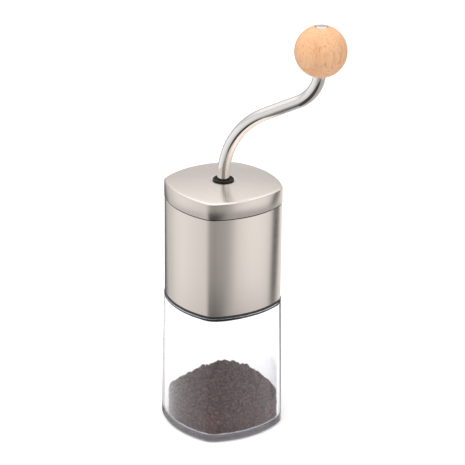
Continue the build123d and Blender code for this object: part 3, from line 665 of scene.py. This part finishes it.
for start, end in [
    (source.outputs["Geometry"], line.inputs["Mesh"]),
    (rank.outputs["Index"], is_second.inputs[2]),
    (is_second.outputs["Result"], bend.inputs["Switch"]),
    (source.outputs["First Bend Radius"], bend.inputs["False"]),
    (source.outputs["Second Bend Radius"], bend.inputs["True"]),
    (line.outputs["Curve"], arcs.inputs["Curve"]),
    (bend.outputs["Output"], arcs.inputs["Radius"]),
    (arcs.outputs["Curve"], sweep.inputs["Curve"]),
    (source.outputs["Rod Radius"], section.inputs["Radius"]),
    (section.outputs["Curve"], sweep.inputs["Profile Curve"]),
    (sweep.outputs["Mesh"], real.inputs["Geometry"]),
    (real.outputs["Geometry"], coat.inputs["Geometry"]),
    (source.outputs["Finish"], coat.inputs["Material"]),
    (coat.outputs["Geometry"], result.inputs["Geometry"]),
]:
    bent_rod.links.new(start, end)

polished, tree, shader = material("polished_steel", (0.93, 0.9, 0.87), metallic=1.0, roughness=0.08)
polish = object_noise(tree, (400, 400, 400), detail=3)
streaks = ramp(tree, polish.outputs["Fac"], [(0.3, (0.06, 0.06, 0.06)), (0.7, (0.12, 0.12, 0.12))])
tree.links.new(streaks.outputs["Color"], shader.inputs["Roughness"])
bump(tree, polish.outputs["Fac"], shader, 0.002 * mm)
tinted(tree, polish.outputs["Fac"], shader, (0.915, 0.885, 0.855), (0.945, 0.915, 0.885))

rod_mesh = bpy.data.meshes.new("crank_rod_bent")
rod_corners = [Vector((0, 0, rod_low.z)), first_corner, second_corner, shoulder]
rod_mesh.from_pydata(rod_corners, [(0, 1), (1, 2), (2, 3)], [])
rod = bpy.data.objects.new("crank_rod_bent", rod_mesh)
bpy.context.scene.collection.objects.link(rod)
baked(rod, bent_rod, {rod_radius_id: rod_radius, first_id: first_bend_radius, second_id: second_bend_radius,
                      finish_id: polished})
rod.data.shade_smooth()
rod.data.set_sharp_from_angle(angle=radians(40))
spindle = lathed("crank_spindle", rounded_path([
    (0, shoulder.z - spindle_root, 0),
    (spindle_radius, shoulder.z - spindle_root, 0),
    (spindle_radius, rod_high.z, 0.3 * mm),
    (0, rod_high.z, 0),
]), centre=shoulder.xy, segments=36)
dress(spindle, polished)
for piece in (rod, spindle):
    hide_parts("crank_rod")
    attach(piece, "crank")

# Knob: turned beech ball, fine sanded and oiled, bored for the bronze sleeve and opened out below so that
# the bent rod clears it as it spins.
ball_radius = 14.19 * mm
ball_bore = 3.65 * mm
mouth_radius = 5.0 * mm
mouth_lip = 0.2 * mm
ball_low, ball_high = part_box("knob_ball")
ball_centre = (ball_low.x + ball_high.x) / 2, (ball_low.y + ball_high.y) / 2
ball_middle = ball_high.z - sqrt(ball_radius**2 - ball_bore**2)
sleeve_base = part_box("knob_sleeve")[0].z
bottom_angle = -pi / 2 + acos(sqrt(1 - (mouth_radius / ball_radius) ** 2))
top_angle = pi / 2 - acos(sqrt(1 - (ball_bore / ball_radius) ** 2))
ball_steps = 72
ball_angles = [bottom_angle + (top_angle - bottom_angle) * k / ball_steps for k in range(ball_steps + 1)]
ball_path = [(ball_radius * cos(angle), ball_middle + ball_radius * sin(angle)) for angle in ball_angles]
ball_path += [(ball_bore, sleeve_base), (ball_bore + mouth_lip, sleeve_base)]
ball = lathed("knob_ball_beech", ball_path, centre=ball_centre, segments=96, smooth_angle=40)

beech, tree, shader = material("oiled_beech", (0.69, 0.39, 0.215), roughness=0.5)
grown_rings = object_noise(tree, (240, 110, 12), detail=4, roughness=0.55)
bands = ramp(tree, grown_rings.outputs["Fac"], [(0.3, (0.65, 0.355, 0.185)), (0.45, (0.7, 0.39, 0.21)),
                                                (0.6, (0.74, 0.43, 0.24)), (0.75, (0.68, 0.37, 0.195))])
flecks = object_noise(tree, (1500, 1500, 130), detail=2)
fleck_mask = ramp(tree, flecks.outputs["Fac"], [(0.52, (0, 0, 0)), (0.68, (1, 1, 1))])
mixed = node(tree, "ShaderNodeMix", data_type="RGBA", blend_type="MULTIPLY")
mixed.inputs[7].default_value = (0.78, 0.68, 0.58, 1)
tree.links.new(fleck_mask.outputs["Color"], mixed.inputs[0])
tree.links.new(bands.outputs["Color"], mixed.inputs[6])
tree.links.new(mixed.outputs[2], shader.inputs["Base Color"])
bump(tree, flecks.outputs["Fac"], shader, 0.03 * mm, 0.5)
dress(ball, beech)
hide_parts("knob_ball")
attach(ball, "knob")

# Rivet: polished steel head, let in flush with the top of the ball, on a shank pressed into the spindle.
rivet_low, rivet_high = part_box("knob_rivet")
rivet_radius = 3.3 * mm
shank_radius = 1.3 * mm
rivet_edge_drop = 0.1 * mm
rivet_flat_radius = 2 * mm
rivet_head_bottom = rod_high.z
rivet = lathed("knob_rivet_head", rounded_path([
    (0, rivet_low.z, 0),
    (shank_radius, rivet_low.z, 0.2 * mm),
    (shank_radius, rivet_head_bottom, 0),
    (rivet_radius, rivet_head_bottom, 0),
    (rivet_radius, rivet_high.z - rivet_edge_drop, 0.35 * mm),
    (rivet_flat_radius, rivet_high.z, 0),
    (0, rivet_high.z, 0),
]), centre=ball_centre, segments=48)
dress(rivet, polished)
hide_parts("knob_rivet")
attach(rivet, "crank")

# Stage: a plain white floor that glows weakly, in a soft white room that is darker behind the camera and in
# two narrow panels at the sides, which give the polished and brushed steel something to show. The floor's
# glow
# is painted light: it stands in for the light that would reach the floor under the clear base, so part of
# the base's brightness comes from the floor and not from the acrylic.
floor_half = 1.5
floor_mesh = bpy.data.meshes.new("floor")
floor_corners = [(x * floor_half, y * floor_half, 0) for x, y in ((-1, -1), (1, -1), (1, 1), (-1, 1))]
floor_mesh.from_pydata(floor_corners, [], [(0, 1, 2, 3)])
floor = bpy.data.objects.new("floor", floor_mesh)
bpy.context.scene.collection.objects.link(floor)
paper, tree, shader = material("white_paper_painted_glow", (0.93, 0.93, 0.93), roughness=0.9)
fibre = object_noise(tree, (15, 15, 15), detail=3)
shade = ramp(tree, fibre.outputs["Fac"], [(0.3, (0.87, 0.87, 0.87)), (0.7, (0.89, 0.89, 0.89))])
# Painted light: the weak emission brightens the floor, and most of all the floor seen through the
# container's clear base.
shader.inputs["Emission Color"].default_value = (1, 1, 1, 1)
shader.inputs["Emission Strength"].default_value = 0.14
tree.links.new(shade.outputs["Color"], shader.inputs["Base Color"])
dress(floor, paper)
floor.visible_glossy = False

room = bpy.data.worlds.new("white_room")
bpy.context.scene.world = room
room.use_nodes = True
tree = room.node_tree
tree.nodes.clear()
way = node(tree, "ShaderNodeTexCoord")
parts = node(tree, "ShaderNodeSeparateXYZ")
heading = node(tree, "ShaderNodeMath", operation="ARCTAN2")
turn_share = node(tree, "ShaderNodeMapRange")
turn_share.inputs["From Min"].default_value = -pi
turn_share.inputs["From Max"].default_value = pi
tree.links.new(way.outputs["Generated"], parts.inputs["Vector"])
tree.links.new(parts.outputs["Y"], heading.inputs[0])
tree.links.new(parts.outputs["X"], heading.inputs[1])
tree.links.new(heading.outputs["Value"], turn_share.inputs["Value"])
wall_tones = [(-180, 0.74), (-172, 0.68), (-165, 0.6), (-157, 0.46), (-150, 0.4), (-135, 0.38),
              (-125, 0.36), (-113, 0.37), (-97, 0.4), (-91, 0.47), (-85, 0.62), (-82, 0.75),
              (-78, 0.84), (-60, 0.95), (-40, 0.92), (-25, 0.8), (-21, 0.05), (-10, 0.04),
              (-7, 0.85), (15, 0.9), (60, 0.8), (70, 0.12), (84, 0.12), (90, 0.58),
              (106, 0.68), (118, 0.85), (135, 0.93), (172, 0.8), (180, 0.74)]
upper_tones = [(-180, 0.7), (-162, 0.7), (-150, 0.08), (-102, 0.08),
               (-90, 0.7), (35, 0.5), (75, 0.66), (180, 0.7)]
table_tones = [(-180, 0.6), (-170, 0.4), (-160, 0.06), (-100, 0.06), (-90, 0.4), (180, 0.6)]
ceiling_tones = [(-180, 1.0), (180, 1.0)]


def turned_tones(tones):
    """Grey tones round the room from (degrees east, tone) stops."""
    return ramp(tree, turn_share.outputs["Result"],
                [((degrees_east + 180) / 360, (tone, tone, tone)) for degrees_east, tone in tones])


room_tones = turned_tones(wall_tones).outputs["Color"]
for tones, start_z, end_z, gain in [(upper_tones, 0.1, 0.22, 1.0), (ceiling_tones, 0.3, 0.75, 1.35),
                                    (table_tones, -0.46, -0.55, 1.0)]:
    share = node(tree, "ShaderNodeMapRange")
    share.inputs["From Min"].default_value = start_z
    share.inputs["From Max"].default_value = end_z
    tree.links.new(parts.outputs["Z"], share.inputs["Value"])
    gained = node(tree, "ShaderNodeVectorMath", operation="SCALE")
    gained.inputs["Scale"].default_value = gain
    tree.links.new(turned_tones(tones).outputs["Color"], gained.inputs[0])
    zone = node(tree, "ShaderNodeMix", data_type="RGBA")
    tree.links.new(share.outputs["Result"], zone.inputs[0])
    tree.links.new(room_tones, zone.inputs[6])
    tree.links.new(gained.outputs["Vector"], zone.inputs[7])
    room_tones = zone.outputs[2]
paths = node(tree, "ShaderNodeLightPath")
seen = node(tree, "ShaderNodeMix", data_type="RGBA")
seen.inputs[7].default_value = (1.0, 1.0, 1.0, 1)
tree.links.new(paths.outputs["Is Camera Ray"], seen.inputs[0])
tree.links.new(room_tones, seen.inputs[6])
glow = node(tree, "ShaderNodeBackground", Strength=1.0)
tree.links.new(seen.outputs[2], glow.inputs["Color"])
output = node(tree, "ShaderNodeOutputWorld")
tree.links.new(glow.outputs["Background"], output.inputs["Surface"])


def softbox(name, centre, target, size, power):
    """Square area light at centre that shines on target."""
    lamp = bpy.data.lights.new(name, "AREA")
    lamp.size = size
    lamp.energy = power
    lamp_object = bpy.data.objects.new(name, lamp)
    lamp_object.location = centre
    lamp_object.rotation_euler = (Vector(target) - Vector(centre)).to_track_quat("-Z", "Y").to_euler()
    lamp_object.visible_glossy = False
    bpy.context.scene.collection.objects.link(lamp_object)


softbox("overhead_softbox", (-0.3, -0.2, 1.1), (0, 0, 0.1), 0.8, 6)

camera_distance = 1273.7 * mm
camera_elevation = radians(24.04)
camera_heading = radians(236.2)
aim_height = 80 * mm
pitch = radians(22.605)
yaw = radians(0.264)
roll = radians(0.611)
camera_data = bpy.data.cameras.new("camera")
camera_data.sensor_width = 36
camera_data.lens = 174.55
camera_data.clip_end = 20
camera = bpy.data.objects.new("camera", camera_data)
bpy.context.scene.collection.objects.link(camera)
forward = Vector((sin(yaw) * cos(pitch), cos(yaw) * cos(pitch), -sin(pitch)))
right = Vector((cos(yaw), -sin(yaw), 0))
up = right.cross(forward)
turn = Matrix.Rotation(camera_heading + pi / 2, 3, "Z")
axes = [turn @ (cos(roll) * right + sin(roll) * up),
        turn @ (cos(roll) * up - sin(roll) * right),
        turn @ -forward]
camera.matrix_world = Matrix(axes).transposed().to_4x4()
camera.location = Vector((camera_distance * cos(camera_elevation) * cos(camera_heading),
                          camera_distance * cos(camera_elevation) * sin(camera_heading),
                          aim_height + camera_distance * sin(camera_elevation)))
bpy.context.scene.camera = camera
bpy.context.scene.view_settings.view_transform = "Standard"
